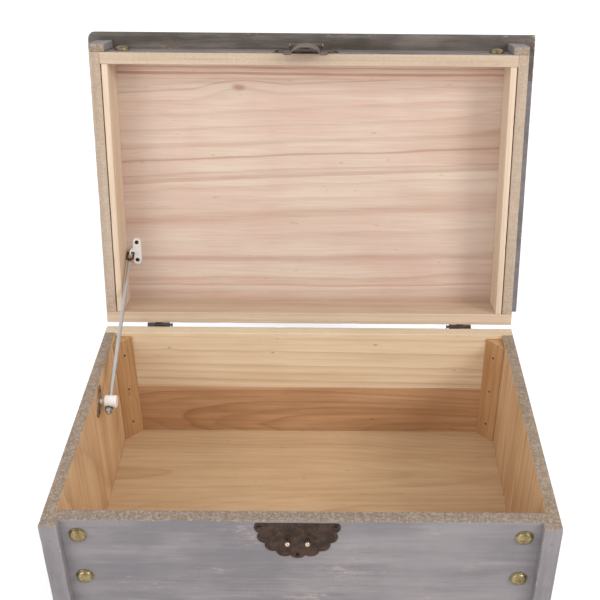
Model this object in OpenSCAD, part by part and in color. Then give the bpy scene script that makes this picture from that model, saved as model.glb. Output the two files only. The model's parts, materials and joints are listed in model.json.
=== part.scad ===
// Wooden toy chest: a board box with a hinged lid, a rod stay that holds the
// lid open, and a scalloped bronze flap latch on the front.
// The lid is drawn standing open on its stay. Millimetres, +Z up, +Y the back,
// and the origin is the middle of the underside.

/* [Box] */
// Width over the side walls
box_w = 550; // [440:1:680]
// Depth over the front and back boards
box_d = 360; // [290:1:450]
// Height from the underside to the rim
box_h = 180; // [170:1:240]
// Thickness of the front and back boards
board_t = 15; // [11:0.5:20]
// Thickness of the side walls
side_t = 14; // [11:0.5:20]
// Thickness of the floor boards
floor_t = 10; // [7:0.5:14]
// Height of the upper front and back boards
upper_board_h = 92; // [80:1:120]
// Width of the rear floor board
floor_back_w = 129; // [90:1:150]
// Width of the middle floor board
floor_mid_w = 100; // [80:1:120]

/* [Corner strips and battens] */
// Leg of the triangular corner strips
strip_leg = 23; // [16:1:30]
// Drop of the rear strips below the rim
back_strip_drop = 6; // [3:1:20]
// Drop of the front strips below the rim
front_strip_drop = 28; // [20:1:60]
// Width of the front battens
batten_w = 19.5; // [14:0.5:26]
// Thickness of the front battens
batten_t = 10; // [7:0.5:14]

/* [Lid] */
// Height of the lid's rails and side boards
lid_h = 52; // [46:1:70]
// Thickness of the lid's side boards
lid_side_t = 13; // [10:0.5:18]
// Thickness of the lid's lining strips
lining_t = 8; // [5:0.5:10]
// Space between a lining strip and its side board
lining_gap = 1.2; // [0.6:0.1:3]
// Setback of the lining strips from the lid's rim
lining_step = 1; // [0.5:0.5:4]
// Thickness of the top boards
top_t = 12; // [9:0.5:18]
// Overhang of the top past each side
side_overhang = 14; // [8:1:24]
// Shift of the top towards the right-hand side
top_shift = 2; // [-4:0.5:4]
// Overhang of the top past the front rail
front_overhang = 20; // [16:1:30]
// Width of the narrow front board of the top, inside the front rail's face
top_front_w = 38; // [25:1:80]
// Space between the closed lid and the rim
lid_gap = 0.5; // [0.4:0.1:2]
// Angle at which the open lid stands
lid_open = 103.5; // [96:0.5:108]

/* [Hinges] */
// Distance of each hinge from the middle of the box
hinge_x = 205; // [100:1:205]
// Width of a hinge
hinge_w = 30; // [24:1:40]
// Height of a hinge leaf
leaf_h = 22; // [18:1:30]
// Thickness of a hinge leaf
leaf_t = 1.2; // [0.8:0.1:1.6]
// Radius of the hinge barrel
barrel_r = 2.8; // [2.4:0.1:3.2]
// Radius of the hinge pin
hinge_pin_r = 1.5; // [1.1:0.1:1.8]

/* [Studs and fixings] */
// Radius of a stud's dome
stud_r = 9.8; // [7:0.1:11]
// Height of a stud's dome
stud_h = 5.5; // [4:0.1:8]
// Distance of the studs from the side of the box
stud_inset = 37; // [32:1:50]
// Drop of the top studs below the rim
stud_drop = 22; // [16:1:30]
// Spacing of the studs down each side
stud_pitch = 63; // [50:1:66]
// Radius of a screw's shank
screw_r = 1.4; // [1:0.1:1.8]
// Radius of a screw's head
screw_head_r = 2.8; // [2.4:0.1:3.2]
// Length of a screw under its head
screw_len = 9; // [6:0.5:10]
// Radius of a nail's head
nail_head_r = 1.5; // [1:0.1:2]

/* [Latch] */
// Radius of the lower plate's disc
lower_disc_r = 34.5; // [30:0.5:38]
// Radius of the upper plate's disc
upper_disc_r = 31; // [27:0.5:32]
// Number of lobes round each plate
lobes = 9; // [7:2:11]
// Thickness of the latch plates and the flap
plate_t = 1.2; // [0.8:0.1:1.6]
// Distance between the two latch posts
post_gap = 21.5; // [18:0.5:23]
// Drop of the latch posts below the rim
post_drop = 28.5; // [18:0.5:30]
// Radius of a post's ball tip
ball_r = 3; // [2:0.1:3]
// Height of the flap's hollow arch
arch_h = 8.8; // [8.4:0.1:11]
// Half width of the flap's hollow arch
arch_half = 17.5; // [16.5:0.5:20]
// Half width of the flap
flap_half = 27; // [24:0.5:30]
// Reach of the flap below the lid's rim
flap_drop = 44; // [36:1:46]
// Shift of the whole latch towards the right-hand side
latch_shift = -4; // [-10:0.5:10]

/* [Stay] */
// Distance of the stay's pivot on the lid from the back of the box
pivot_back = 86; // [70:1:100]
// Distance of the stay's block from the back of the box
block_back = 138; // [120:1:150]
// Drop of the stay's block below the rim
block_drop = 20; // [16:1:30]
// Radius of the stay's rod
rod_r = 2.5; // [2:0.1:3]
// Radius of the wire eye on the rod
wire_r = 1.4; // [1.1:0.1:1.6]
// Radius of the nylon block
block_r = 8.2; // [7:0.1:10]
// Length of the nylon block
block_len = 18; // [14:0.5:20]
// Running clearance of pins and the rod, on the radius
run_fit = 0.05; // [0.02:0.01:0.1]
// Space left where one moving piece passes another
pass_gap = 0.3; // [0.3:0.1:0.6]

/* [Hidden] */
$fn = 48;

grey = "#8f8b90";
pine = "#d9b48a";
pale_pine = "#e6cba8";
rosy_pine = "#cfa084";
bronze = "#4a3626";
brass = "#b99b5c";
steel = "#a9a7a2";
dark_steel = "#3a3532";
nylon = "#ece7e1";
white_steel = "#f2f0ec";

eps = 0.01;
left = -1;
right = 1;
front_y = -box_d / 2;
back_y = box_d / 2;
inner_w = box_w - 2 * side_t;
inner_d = box_d - 2 * board_t;
lower_board_h = box_h - upper_board_h;
floor_front_w = inner_d - floor_back_w - floor_mid_w;

// The closed lid's rim plane and the underside of its top
lid_z = box_h + lid_gap;
top_z = lid_z + lid_h;
top_seam_y = front_y + top_front_w;
top_w = box_w + 2 * side_overhang;
top_low_x = top_shift - top_w / 2;
nose_r = top_t / 2;

// Hinge axis: just behind the back board, half way across the closed gap
barrel_clear = 0.4;
barrel_off = barrel_r + barrel_clear;
hinge_y = back_y + barrel_off;
hinge_z = box_h + lid_gap / 2;
knuckle_w = hinge_w / 3;
knuckle_gap = 0.3;
pin_stand_off = 2.2;
pin_head_r = barrel_r - knuckle_gap;
pin_head_t = 1.3;
leaf_screw_edge = 6;
leaf_screw_x = hinge_w / 2 - leaf_screw_edge;
leaf_screw_drop = leaf_h - leaf_screw_edge;

// Fixings
screw_head_h = 1.1;
dome_head_h = 1.4;
tack_r = 1.2;
tack_short = 4;
tack_len = board_t - tack_short;
nail_r = 0.8;
nail_head_t = 0.8;
nail_len = 12;
nail_proud = 0.2;
batten_nail_edge = 22;
strip_nail_low = 0.15;
strip_nail_step = 0.35;
sink_clear = 0.05;
stud_x = box_w / 2 - stud_inset;
stud_count = 3;

// Latch: heights are from the rim, and distances out are from the front face
lobe_share = 0.33;
lobe_screw_out = 6;
lower_lobe_r = lower_disc_r * lobe_share;
upper_lobe_r = upper_disc_r * lobe_share;
lower_centre_drop = 9;
lower_edge_drop = 3;
upper_centre_rise = 7;
upper_edge_rise = 2.5;
post_r = 1.7;
ball_stand_off = 0.7;
ball_out = plate_t + ball_stand_off + ball_r;
flap_lift = 0.5;
flap_back = plate_t + flap_lift;
latch_pin_r = 1.6;
latch_barrel_r = 3.2;
latch_head_r = 2.6;
barrel_proud = 0.6;
latch_pin_out = flap_back + arch_h - latch_barrel_r + barrel_proud;
latch_pin_rise = 13;
lug_wall = 0.8;
lug_r = latch_barrel_r + lug_wall;
lug_t = 3;
lug_gap = 0.6;
neck_inset = 1.1;
neck_half = arch_half - neck_inset;
lug_x = neck_half + lug_gap;
shoulder_gap = 2;
shoulder_rise = latch_pin_rise - lug_r - shoulder_gap;
flap_round = 12;
arch_steps = 24;

// Stay: the wire eye turns in the bracket's ear, and the block slides on the rod
eye_half = 4.2;
eye_len = 10;
eye_clear = 0.7;
stay_x = -box_w / 2 + lid_side_t + lining_gap + lining_t + eye_clear + eye_half + wire_r;
pivot_drop = 10;
pivot_closed_y = back_y - pivot_back;
pivot_closed_z = top_z - pivot_drop;
pivot_dy = pivot_closed_y - hinge_y;
pivot_dz = pivot_closed_z - hinge_z;
pivot_y = hinge_y + pivot_dy * cos(lid_open) + pivot_dz * sin(lid_open);
pivot_z = hinge_z - pivot_dy * sin(lid_open) + pivot_dz * cos(lid_open);
block_y = back_y - block_back;
block_z = box_h - block_drop;
rod_run = norm([block_y - pivot_y, block_z - pivot_z]);
rod_tilt = atan2(pivot_y - block_y, block_z - pivot_z);
stop_at = rod_run + block_r + pass_gap;
washer_r = 5;
washer_t = 1.2;
nut_r = 4.6;
nut_t = 5;
rod_tail = 2.3;
rod_len = stop_at + washer_t + nut_t + rod_tail;
wall_x = -box_w / 2 + side_t;
base_plate_t = 1.4;
boss_t = 1;
boss_r = 4.5;
base_plate_len = 40;
base_plate_w = 13;
base_screw_gap = 27;
base_plate_tilt = 50;
stud_end_x = wall_x + base_plate_t + boss_t + pass_gap;
block_stud_r = 3;
bracket_t = 1.5;
bracket_len = 37;
bracket_w = 11;
bracket_offset = 7.2;
bracket_x = stay_x + bracket_offset;
bracket_screw_gap = 25;
ear_t = 1.5;
ear_wall = 2.6;
ear_r = wire_r + ear_wall;

// ---- Shared shapes ----

// A board given by its low corner and its size
module board(low, size) {
    translate(low) cube(size);
}

// Turns what is drawn on the closed lid up to where the open lid stands
module open_lid() {
    translate([0, hinge_y, hinge_z]) rotate([-lid_open, 0, 0])
        translate([0, -hinge_y, -hinge_z]) children();
}

// Puts a flat drawing on the front face: drawn X, Y and Z go to X, up and out
module on_front(rise) {
    translate([0, front_y, rise]) rotate([90, 0, 0]) children();
}

// A slot-shaped plate with round ends, long way along X
module stadium(len, width, thick) {
    linear_extrude(thick) {
        square([len - width, width], center = true);
        for (side = [left, right]) translate([side * (len - width) / 2, 0]) circle(width / 2);
    }
}

// A countersunk wood screw, head flush with Z = 0 and shank downwards
module flat_screw(len, grow = 0) {
    translate([0, 0, -screw_head_h]) {
        cylinder(h = screw_head_h, r1 = screw_r + grow, r2 = screw_head_r + grow);
        translate([0, 0, -len]) cylinder(h = len + eps, r = screw_r + grow);
    }
}

// A domed screw whose head sits on Z = 0, shank downwards
module dome_screw(len) {
    cap(screw_head_r, dome_head_h);
    translate([0, 0, -len]) cylinder(h = len + eps, r = screw_r);
}

// A spherical cap standing on Z = 0
module cap(radius, height) {
    ball = (radius * radius + height * height) / (2 * height);
    intersection() {
        translate([0, 0, height - ball]) sphere(ball);
        translate([-radius, -radius, 0]) cube([2 * radius, 2 * radius, height]);
    }
}

// A nail with a flat head flush with Z = 0, shank downwards
module nail() {
    translate([0, 0, -nail_head_t]) cylinder(h = nail_head_t + nail_proud, r = nail_head_r);
    translate([0, 0, -nail_len]) cylinder(h = nail_len, r = nail_r);
}

// A brass dome on its tack, standing out of Z = 0
module stud() {
    cap(stud_r, stud_h);
    translate([0, 0, -tack_len]) cylinder(h = tack_len + eps, r = tack_r);
}

// ---- Box boards ----

module front_board_upper() {
    color(grey) board([-inner_w / 2, front_y, lower_board_h], [inner_w, board_t, upper_board_h]);
}

module front_board_lower() {
    color(grey) board([-inner_w / 2, front_y, 0], [inner_w, board_t, lower_board_h]);
}

module back_board_upper() {
    color(pine) board([-box_w / 2, back_y - board_t, lower_board_h], [box_w, board_t, upper_board_h]);
}

module back_board_lower() {
    color(rosy_pine) board([-box_w / 2, back_y - board_t, 0], [box_w, board_t, lower_board_h]);
}

module side_wall(side) {
    low_x = side == left ? -box_w / 2 : box_w / 2 - side_t;
    color(pine) board([low_x, front_y, 0], [side_t, box_d - board_t, box_h]);
}

module floor_board(low_y, width) {
    color(pale_pine) board([-inner_w / 2, low_y, 0], [inner_w, width, floor_t]);
}

// ---- Corner strips ----

// How far down from the rim a strip starts, front or back
function strip_drop(end) = end == left ? front_strip_drop : back_strip_drop;

// A triangular strip in one inside corner, from the floor up towards the rim
module corner_strip(side, end) {
    color(pale_pine)
        translate([side * inner_w / 2, end * inner_d / 2, floor_t])
            linear_extrude(box_h - floor_t - strip_drop(end))
                polygon([[0, 0], [-side * strip_leg, 0], [0, -end * strip_leg]]);
}

// Nails through each strip's sloping face, driven square into the corner
module corner_strip_nails() {
    color(dark_steel)
        for (side = [left, right], end = [left, right], step = [0 : 2]) {
            span = box_h - floor_t - strip_drop(end);
            translate([side * (inner_w - strip_leg) / 2, end * (inner_d - strip_leg) / 2,
                       floor_t + span * (strip_nail_low + strip_nail_step * step)])
                rotate([0, 90, atan2(end, side)]) rotate([180, 0, 0]) nail();
        }
}

// ---- Front battens and studs ----

module batten(side, low_z, height) {
    low_x = side == left ? -box_w / 2 : box_w / 2 - batten_w;
    color(grey) board([low_x, front_y - batten_t, low_z], [batten_w, batten_t, height]);
}

// Nails down the middle of each batten, out of its front face
module nail_rows(low_z, height, count) {
    step = (height - 2 * batten_nail_edge) / (count - 1);
    for (side = [left, right], i = [0 : count - 1])
        translate([side * (box_w - batten_w) / 2, -batten_t, 0])
            on_front(low_z + batten_nail_edge + i * step) nail();
}

module batten_nails() {
    color(dark_steel) nail_rows(0, box_h, 3);
}

// A row of studs down each side of the front
module front_studs() {
    color(brass)
        for (side = [left, right], i = [0 : stud_count - 1])
            on_front(box_h - stud_drop - i * stud_pitch) translate([side * stud_x, 0, 0]) stud();
}

// ---- Latch, box half ----

// Carries the latch's pieces sideways to where it is fitted
module at_latch() {
    translate([latch_shift, 0, 0]) children();
}

// A half disc with lobes round its edge, centred on the disc, hanging down
module scalloped(disc_r, lobe_r, edge_up) {
    intersection() {
        union() {
            circle(disc_r, $fn = 96);
            for (i = [0 : lobes - 1])
                rotate(180 + i * 180 / (lobes - 1)) translate([disc_r, 0]) circle(lobe_r);
        }
        translate([-2 * disc_r, -2 * disc_r]) square([4 * disc_r, 2 * disc_r + edge_up]);
    }
}

// Places what is drawn at the three screws of a scalloped plate
module at_latch_screws(disc_r) {
    for (turn = [180, 270, 360]) rotate(turn) translate([disc_r + lobe_screw_out, 0, 0]) rotate(-turn) children();
}

module latch_plate_lower() {
    color(bronze) at_latch() on_front(box_h - lower_centre_drop) difference() {
        linear_extrude(plate_t)
            scalloped(lower_disc_r, lower_lobe_r, lower_centre_drop - lower_edge_drop);
        at_latch_screws(lower_disc_r) translate([0, 0, -eps]) cylinder(h = plate_t + 2 * eps, r = screw_r);
    }
}

module latch_posts() {
    color(brass) at_latch()
        for (side = [left, right])
            on_front(box_h - post_drop) translate([side * post_gap / 2, 0, plate_t]) {
                cylinder(h = ball_out - plate_t, r = post_r);
                translate([0, 0, ball_out - plate_t]) sphere(ball_r);
            }
}

module latch_screws_lower() {
    color(dark_steel) at_latch() on_front(box_h - lower_centre_drop)
        at_latch_screws(lower_disc_r) translate([0, 0, plate_t]) dome_screw(screw_len);
}

// ---- Hinges ----

// Barrel segments along X: the box leaf has the outer two, the lid leaf the middle one
function knuckles(on_box) = on_box
    ? [[-hinge_w / 2, -knuckle_w / 2 - knuckle_gap / 2], [knuckle_w / 2 + knuckle_gap / 2, hinge_w / 2]]
    : [[-knuckle_w / 2 + knuckle_gap / 2, knuckle_w / 2 - knuckle_gap / 2]];

// A cylinder along X between two stations, on the hinge axis
module along_x(from, to, radius) {
    translate([from, 0, 0]) rotate([0, 90, 0]) cylinder(h = to - from, r = radius);
}

// One leaf about the hinge axis at the origin; up is +1 for the lid leaf, -1 for the box leaf
module hinge_leaf(up) {
    on_box = up < 0;
    notch = barrel_r + barrel_clear;
    color(bronze) difference() {
        union() {
            translate([-hinge_w / 2, -barrel_off, up > 0 ? notch : -leaf_h])
                cube([hinge_w, leaf_t, leaf_h - notch]);
            for (k = knuckles(on_box)) {
                along_x(k[0], k[1], barrel_r);
                translate([k[0], -barrel_off, up > 0 ? 0 : -notch - eps])
                    cube([k[1] - k[0], leaf_t, notch + eps]);
            }
        }
        along_x(-hinge_w, hinge_w, hinge_pin_r + (on_box ? 0 : run_fit));
        for (side = [left, right])
            translate([side * leaf_screw_x, leaf_t - barrel_off, up * leaf_screw_drop])
                rotate([-90, 0, 0]) flat_screw(leaf_t, sink_clear);
    }
}

module hinge_leaf_box(side) {
    translate([side * hinge_x, hinge_y, hinge_z]) hinge_leaf(-1);
}

module hinge_leaf_lid(side) {
    open_lid() translate([side * hinge_x, hinge_y, hinge_z]) hinge_leaf(1);
}

// The pin's head stands clear of the barrel on the side towards the middle
module hinge_pin(side) {
    reach = hinge_w / 2 + pin_stand_off;
    color(bronze) translate([side * hinge_x, hinge_y, hinge_z]) rotate([0, 0, side < 0 ? 0 : 180]) {
        along_x(-hinge_w / 2, reach, hinge_pin_r);
        along_x(reach, reach + pin_head_t, pin_head_r);
    }
}

// Two screws in each leaf of both hinges
module hinge_screws(up) {
    color(bronze)
        for (hinge = [left, right], side = [left, right])
            translate([hinge * hinge_x + side * leaf_screw_x, back_y + leaf_t,
                       hinge_z + up * leaf_screw_drop])
                rotate([-90, 0, 0]) flat_screw(screw_len);
}

// ---- Stay, box end ----

// Draws on the inner face of the left wall, out of the wall along Z
module on_left_wall() {
    translate([wall_x, block_y, block_z]) rotate([base_plate_tilt, 0, 0]) rotate([90, 0, 90]) children();
}

module stay_base_plate() {
    color(bronze) on_left_wall() difference() {
        union() {
            stadium(base_plate_len, base_plate_w, base_plate_t);
            cylinder(h = base_plate_t + boss_t, r = boss_r);
        }
        for (side = [left, right])
            translate([side * base_screw_gap / 2, 0, base_plate_t]) flat_screw(base_plate_t, sink_clear);
    }
}

module stay_base_screws() {
    color(dark_steel) on_left_wall()
        for (side = [left, right])
            translate([side * base_screw_gap / 2, 0, base_plate_t]) flat_screw(screw_len);
}

// ---- Lid ----

// The narrow front board of the top, with a rounded nose
module lid_board_front() {
    nose_y = front_y - front_overhang + nose_r;
    color(grey) open_lid() {
        board([top_low_x, nose_y, top_z], [top_w, top_seam_y - nose_y, top_t]);
        translate([0, nose_y, top_z + nose_r]) along_x(top_low_x, top_low_x + top_w, nose_r);
    }
}

module lid_board_back() {
    color(rosy_pine) open_lid() board([top_low_x, top_seam_y, top_z], [top_w, back_y - top_seam_y, top_t]);
}

module lid_front_rail() {
    width = box_w - 2 * lid_side_t;
    color(pale_pine) open_lid() board([-width / 2, front_y, lid_z], [width, board_t, lid_h]);
}

module lid_hinge_rail() {
    color(pale_pine) open_lid() board([-box_w / 2, back_y - board_t, lid_z], [box_w, board_t, lid_h]);
}

module lid_side(side) {
    low_x = side == left ? -box_w / 2 : box_w / 2 - lid_side_t;
    color(pine) open_lid() board([low_x, front_y, lid_z], [lid_side_t, box_d - board_t, lid_h]);
}

// A thin strip that lines each side of the lid between the rails
module lid_lining(side) {
    inset = lid_side_t + lining_gap;
    low_x = side == left ? -box_w / 2 + inset : box_w / 2 - inset - lining_t;
    color(pale_pine) open_lid()
        board([low_x, front_y + board_t, lid_z + lining_step], [lining_t, inner_d, lid_h - lining_step]);
}

module lid_batten_nails() {
    color(dark_steel) open_lid() nail_rows(lid_z - batten_nail_edge / 2, lid_h + batten_nail_edge, 2);
}

module lid_studs() {
    color(brass) open_lid()
        for (side = [left, right])
            on_front(lid_z + lid_h / 2) translate([side * stud_x, 0, 0]) stud();
}

// ---- Latch, lid half ----

// The scalloped plate with the two lugs that carry the flap's pin
module latch_plate_upper() {
    color(bronze) open_lid() at_latch() difference() {
        union() {
            on_front(lid_z + upper_centre_rise) linear_extrude(plate_t) rotate(180)
                scalloped(upper_disc_r, upper_lobe_r, upper_centre_rise - upper_edge_rise);
            for (side = [left, right])
                translate([side * (lug_x + lug_t / 2), 0, 0]) on_front(lid_z + latch_pin_rise) {
                    translate([-lug_t / 2, -lug_r, 0]) cube([lug_t, 2 * lug_r, latch_pin_out]);
                    translate([0, 0, latch_pin_out]) along_x(-lug_t / 2, lug_t / 2, lug_r);
                }
        }
        on_front(lid_z + latch_pin_rise) translate([0, 0, latch_pin_out])
            along_x(-2 * lug_x, 2 * lug_x, latch_pin_r);
        on_front(lid_z + upper_centre_rise) rotate(180) at_latch_screws(upper_disc_r)
            translate([0, 0, -eps]) cylinder(h = plate_t + 2 * eps, r = screw_r);
    }
}

module latch_hinge_pin() {
    reach = lug_x + lug_t;
    color(brass) open_lid() at_latch() on_front(lid_z + latch_pin_rise) translate([0, 0, latch_pin_out]) {
        along_x(-reach, reach, latch_pin_r);
        for (side = [left, right])
            along_x(side < 0 ? -reach - pin_head_t : reach, side < 0 ? -reach : reach + pin_head_t,
                    latch_head_r);
    }
}

module latch_screws_upper() {
    color(dark_steel) open_lid() at_latch() on_front(lid_z + upper_centre_rise) rotate(180)
        at_latch_screws(upper_disc_r) translate([0, 0, plate_t]) dome_screw(screw_len);
}

// A point on the arch at an angle from the right foot, grown outwards
function arch_point(turn, grow) =
    [(arch_half + grow) * cos(turn), -flap_back - (arch_h + grow) * sin(turn)];

// The flap's cross-section: flat flanges with a hollow arch between them
module flap_section() {
    foot = asin(plate_t / (arch_h + plate_t));
    inner = [for (i = [0 : arch_steps]) arch_point(180 - 180 * i / arch_steps, 0)];
    outer = [for (i = [0 : arch_steps]) arch_point(foot + (180 - 2 * foot) * i / arch_steps, plate_t)];
    polygon(concat([[-flap_half, -flap_back]], inner,
                   [[flap_half, -flap_back], [flap_half, -flap_back - plate_t]], outer,
                   [[-flap_half, -flap_back - plate_t]]));
}

// The flap seen from the front: round lower corners, and a neck between the lugs
module flap_outline() {
    low = -flap_drop;
    translate([-flap_half, low + flap_round])
        square([2 * flap_half, shoulder_rise - low - flap_round]);
    translate([-flap_half + flap_round, low]) square([2 * (flap_half - flap_round), flap_round + eps]);
    for (side = [left, right])
        translate([side * (flap_half - flap_round), low + flap_round]) circle(flap_round);
    translate([-neck_half, shoulder_rise - eps])
        square([2 * neck_half, latch_pin_rise - shoulder_rise + eps]);
}

module latch_flap() {
    reach = 2 * (arch_h + flap_back);
    color(bronze) open_lid() at_latch() difference() {
        union() {
            intersection() {
                translate([0, front_y, lid_z - flap_drop])
                    linear_extrude(flap_drop + latch_pin_rise) flap_section();
                on_front(lid_z) linear_extrude(reach) flap_outline();
            }
            on_front(lid_z + latch_pin_rise) translate([0, 0, latch_pin_out])
                along_x(-neck_half, neck_half, latch_barrel_r);
        }
        on_front(lid_z + latch_pin_rise) translate([0, 0, latch_pin_out])
            along_x(-lug_x, lug_x, latch_pin_r + run_fit);
    }
}

// ---- Stay, lid end ----

// A screwed plate under the top, with an ear that hangs down for the wire eye
module stay_bracket() {
    color(white_steel) open_lid() difference() {
        union() {
            translate([bracket_x, pivot_closed_y, top_z - bracket_t])
                rotate([0, 0, 90]) stadium(bracket_len, bracket_w, bracket_t);
            board([stay_x - ear_t / 2, pivot_closed_y - ear_r, top_z - bracket_t],
                  [bracket_x - stay_x, 2 * ear_r, bracket_t]);
            board([stay_x - ear_t / 2, pivot_closed_y - ear_r, pivot_closed_z],
                  [ear_t, 2 * ear_r, pivot_drop]);
            translate([stay_x, pivot_closed_y, pivot_closed_z]) along_x(-ear_t / 2, ear_t / 2, ear_r);
        }
        translate([stay_x, pivot_closed_y, pivot_closed_z]) along_x(-ear_t, ear_t, wire_r + run_fit);
        for (side = [left, right])
            translate([bracket_x, pivot_closed_y + side * bracket_screw_gap / 2, top_z - bracket_t])
                rotate([180, 0, 0]) flat_screw(bracket_t, sink_clear);
    }
}

module stay_bracket_screws() {
    color(dark_steel) open_lid()
        for (side = [left, right])
            translate([bracket_x, pivot_closed_y + side * bracket_screw_gap / 2, top_z - bracket_t])
                rotate([180, 0, 0]) flat_screw(screw_len);
}

// Draws on the rod: Z = 0 is the pivot, and +Z runs down the rod
module on_rod() {
    translate([stay_x, pivot_y, pivot_z]) rotate([rod_tilt, 0, 0]) children();
}

// The rod with its wire eye: a crossbar in the ear, two sides and a closing bar
module stay_rod() {
    color(steel) on_rod() {
        for (station = [0, eye_len]) translate([0, 0, station]) along_x(-eye_half, eye_half, wire_r);
        for (side = [left, right]) translate([side * eye_half, 0, 0]) {
            cylinder(h = eye_len, r = wire_r);
            for (station = [0, eye_len]) translate([0, 0, station]) sphere(wire_r);
        }
        translate([0, 0, eye_len]) cylinder(h = rod_len - eye_len, r = rod_r);
    }
}

module stay_stop_washer() {
    color(dark_steel) on_rod() translate([0, 0, stop_at]) difference() {
        cylinder(h = washer_t, r = washer_r);
        translate([0, 0, -eps]) cylinder(h = washer_t + 2 * eps, r = rod_r);
    }
}

module stay_stop_nut() {
    color(steel) on_rod() translate([0, 0, stop_at + washer_t]) difference() {
        cylinder(h = nut_t, r = nut_r, $fn = 6);
        translate([0, 0, -eps]) cylinder(h = nut_t + 2 * eps, r = rod_r);
    }
}

// A nylon barrel across the rod, with the stud that turns on the base plate's boss
module stay_block() {
    color(nylon) on_rod() translate([0, 0, rod_run]) difference() {
        union() {
            along_x(-block_len / 2, block_len / 2, block_r);
            along_x(stud_end_x - stay_x, -block_len / 2 + eps, block_stud_r);
        }
        translate([0, 0, -2 * block_r]) cylinder(h = 4 * block_r, r = rod_r + run_fit);
    }
}

front_board_upper();
front_board_lower();
back_board_upper();
back_board_lower();
side_wall(left);  // side_wall_left
side_wall(right);  // side_wall_right
floor_board(-inner_d / 2, floor_front_w);  // floor_board_front
floor_board(inner_d / 2 - floor_back_w - floor_mid_w, floor_mid_w);  // floor_board_middle
floor_board(inner_d / 2 - floor_back_w, floor_back_w);  // floor_board_back
corner_strip(left, right);  // corner_strip_back_left
corner_strip(right, right);  // corner_strip_back_right
corner_strip(left, left);  // corner_strip_front_left
corner_strip(right, left);  // corner_strip_front_right
corner_strip_nails();
batten(left, 0, box_h);  // front_batten_left
batten(right, 0, box_h);  // front_batten_right
batten_nails();
front_studs();
latch_plate_lower();
latch_posts();
latch_screws_lower();
hinge_leaf_box(left);  // hinge_leaf_box_left
hinge_leaf_box(right);  // hinge_leaf_box_right
hinge_pin(left);  // hinge_pin_left
hinge_pin(right);  // hinge_pin_right
hinge_screws(-1);  // hinge_screws_box
stay_base_plate();
stay_base_screws();
lid_board_front();
lid_board_back();
lid_front_rail();
lid_hinge_rail();
lid_side(left);  // lid_side_left
lid_side(right);  // lid_side_right
lid_lining(left);  // lid_lining_left
lid_lining(right);  // lid_lining_right
open_lid() batten(left, lid_z, lid_h);  // lid_batten_left
open_lid() batten(right, lid_z, lid_h);  // lid_batten_right
lid_batten_nails();
lid_studs();
latch_plate_upper();
latch_hinge_pin();
latch_screws_upper();
hinge_leaf_lid(left);  // hinge_leaf_lid_left
hinge_leaf_lid(right);  // hinge_leaf_lid_right
open_lid() hinge_screws(1);  // hinge_screws_lid
stay_bracket();
stay_bracket_screws();
latch_flap();
stay_rod();
stay_stop_washer();
stay_stop_nut();
stay_block();
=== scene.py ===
"""A wooden toy chest with its lid standing open on a rod stay.

Boards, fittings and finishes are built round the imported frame, in metres.
"""

import json
import math

import bpy
import numpy as np
from mathutils import Matrix, Vector


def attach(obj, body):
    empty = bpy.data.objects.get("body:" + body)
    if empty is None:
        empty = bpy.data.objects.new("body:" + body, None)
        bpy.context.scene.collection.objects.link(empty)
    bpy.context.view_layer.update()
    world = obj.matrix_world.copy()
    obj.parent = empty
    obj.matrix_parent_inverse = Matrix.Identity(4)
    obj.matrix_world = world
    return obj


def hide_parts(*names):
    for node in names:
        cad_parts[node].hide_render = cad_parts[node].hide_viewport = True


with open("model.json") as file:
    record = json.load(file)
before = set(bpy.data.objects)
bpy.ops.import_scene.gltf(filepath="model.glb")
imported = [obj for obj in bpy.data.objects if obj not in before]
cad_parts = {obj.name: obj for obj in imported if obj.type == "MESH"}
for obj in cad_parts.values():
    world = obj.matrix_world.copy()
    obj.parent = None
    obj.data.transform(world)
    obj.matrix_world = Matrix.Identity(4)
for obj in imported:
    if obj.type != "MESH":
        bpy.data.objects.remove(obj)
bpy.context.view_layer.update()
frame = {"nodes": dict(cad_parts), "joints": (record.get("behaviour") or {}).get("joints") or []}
MM = 0.001

# ---- The view ---------------------------------------------------------------
# A standing adult looks down into the open chest from a little right of its
# middle, through a normal lens.

LENS = 59.44
EYE = Vector((0.0323, -0.9312, 0.9455))
HEADING = math.radians(-0.22)
LOOK_DOWN = math.radians(32.21)
HEAD_TILT = math.radians(0.54)
FRAMING = (-0.061, -0.022)

camera_data = bpy.data.cameras.new("view")
camera_data.lens = LENS
camera_data.sensor_width = 36
camera_data.clip_start = 0.01
camera_data.shift_x, camera_data.shift_y = FRAMING
camera = bpy.data.objects.new("view", camera_data)
bpy.context.scene.collection.objects.link(camera)
camera.matrix_world = (
    Matrix.Translation(EYE)
    @ Matrix.Rotation(HEADING, 4, "Z")
    @ Matrix.Rotation(math.pi / 2 - LOOK_DOWN, 4, "X")
    @ Matrix.Rotation(HEAD_TILT, 4, "Z")
)
bpy.context.scene.camera = camera
bpy.context.scene.view_settings.view_transform = "Standard"

# ---- The floor and the light ------------------------------------------------
# A wide white floor under a bright sky, with one large soft lamp high on the
# right and a weaker one on the left, as in a product studio.


class Wire:
    """A shader value that adds, subtracts, multiplies and divides by adding Math nodes."""

    def __init__(self, finish, socket):
        self.finish = finish
        self.socket = socket

    def _math(self, operation, *values):
        return self.finish.node("Math", {"operation": operation}, *values)

    def __add__(self, other):
        return self._math("ADD", self, other)

    def __sub__(self, other):
        return self._math("SUBTRACT", self, other)

    def __rsub__(self, other):
        return self._math("SUBTRACT", other, self)

    def __mul__(self, other):
        return self._math("MULTIPLY", self, other)

    def __truediv__(self, other):
        return self._math("DIVIDE", self, other)

    def __pow__(self, other):
        return self._math("POWER", self, other)

    def floor(self):
        return self._math("FLOOR", self)

    __radd__ = __add__
    __rmul__ = __mul__


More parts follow.
